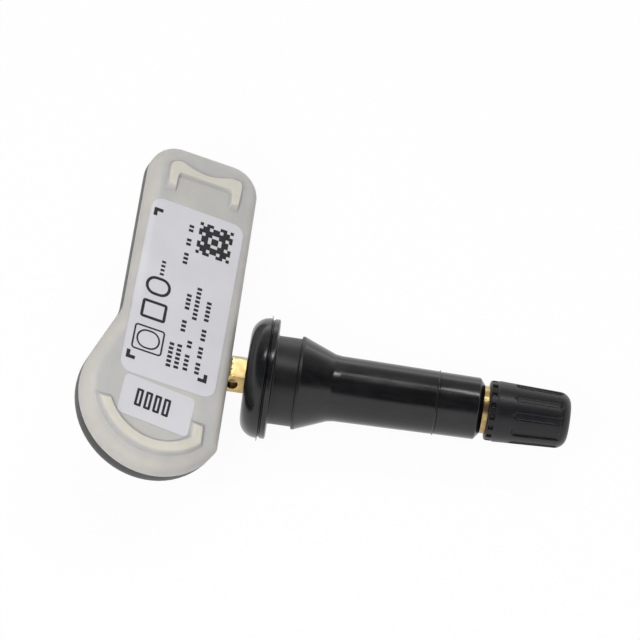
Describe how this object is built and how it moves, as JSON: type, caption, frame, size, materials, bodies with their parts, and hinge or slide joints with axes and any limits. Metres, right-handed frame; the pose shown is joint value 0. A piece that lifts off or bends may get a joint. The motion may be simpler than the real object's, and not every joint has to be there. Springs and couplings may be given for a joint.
{
  "type": "snap-in tyre pressure sensor",
  "caption": "Tyre pressure sensor: a sealed two-part housing with a label and electronics inside, screwed to the brass foot of a rubber snap-in valve stem with core and cap.",
  "frame": {"origin": "on the valve stem's axis, in the plane of the rubber flange's shoulder that seats on the rim", "axes": "+X along the stem towards the cap, +Y along the housing towards its narrow end, +Z towards the lid"},
  "size_m": [0.0784, 0.0583, 0.0246],
  "materials": {
    "base_plastic": "black glass-filled nylon, fine moulded texture",
    "lid_nylon": "natural translucent nylon, satin, laser welded to the base",
    "label_film": "white polymer film with dark printed fields",
    "board_laminate": "green solder mask on glass-epoxy laminate",
    "cell_steel": "pressed stainless can",
    "tab_steel": "nickel-plated strip",
    "chip_plastic": "black moulded package",
    "seal_rubber": "soft silicone",
    "ferrite": null,
    "coil_copper": null,
    "crystal_can": "plated metal lid on ceramic",
    "antenna_metal": "tin-plated bronze strip",
    "chip_ceramic": "ceramic chip parts",
    "stem_brass": "machined brass, satin",
    "stem_rubber": "moulded black rubber, satin",
    "screw_steel": "zinc-plated steel",
    "core_brass": "turned brass",
    "core_seal": "red fluoropolymer ring",
    "pin_steel": "drawn steel pin",
    "plug_rubber": "moulded rubber",
    "spring_steel": "spring wire",
    "cap_plastic": "black moulded plastic, satin",
    "washer_rubber": "soft rubber washer"
  },
  "bodies": {
    "sensor": {"base_housing": "base_plastic", "lid": "lid_nylon", "spec_label": "label_film", "number_label": "label_film", "circuit_board": "board_laminate", "coin_cell": "cell_steel", "battery_tab_positive": "tab_steel", "battery_tab_negative": "tab_steel", "sensor_chip": "chip_plastic", "port_seal": "seal_rubber", "lf_coil_core": "ferrite", "lf_coil_winding": "coil_copper", "crystal": "crystal_can", "rf_antenna": "antenna_metal", "chip_components": "chip_ceramic", "stem_insert": "stem_brass", "stem_rubber": "stem_rubber", "attachment_screw": "screw_steel", "core_body": "core_brass", "core_gasket": "core_seal", "core_spring": "spring_steel"},
    "valve_pin": {"core_pin": "pin_steel", "core_plug": "plug_rubber"},
    "cap_carrier": {"cap_seal": "washer_rubber"},
    "cap": {"valve_cap": "cap_plastic"}
  },
  "joints": [
    {"name": "valve_pin_press", "type": "slide", "parent": "sensor", "child": "valve_pin", "axis": [-1, 0, 0], "range_m": [0, 0.0012], "stiffness_N_per_m": 500, "springref_m": -0.001, "deforming": ["core_spring"]},
    {"name": "cap_lift", "type": "slide", "parent": "sensor", "child": "cap_carrier", "axis": [1, 0, 0], "range_m": [0, 0.00476]},
    {"name": "cap_turn", "type": "hinge", "parent": "cap_carrier", "child": "cap", "pos_m": [0, 0, 0], "axis": [1, 0, 0], "range_deg": [0, 2160]}
  ],
  "couplings": [
    {"joint": "cap_turn", "follows": "cap_lift", "rad_per_m": 7915.8}
  ]
}
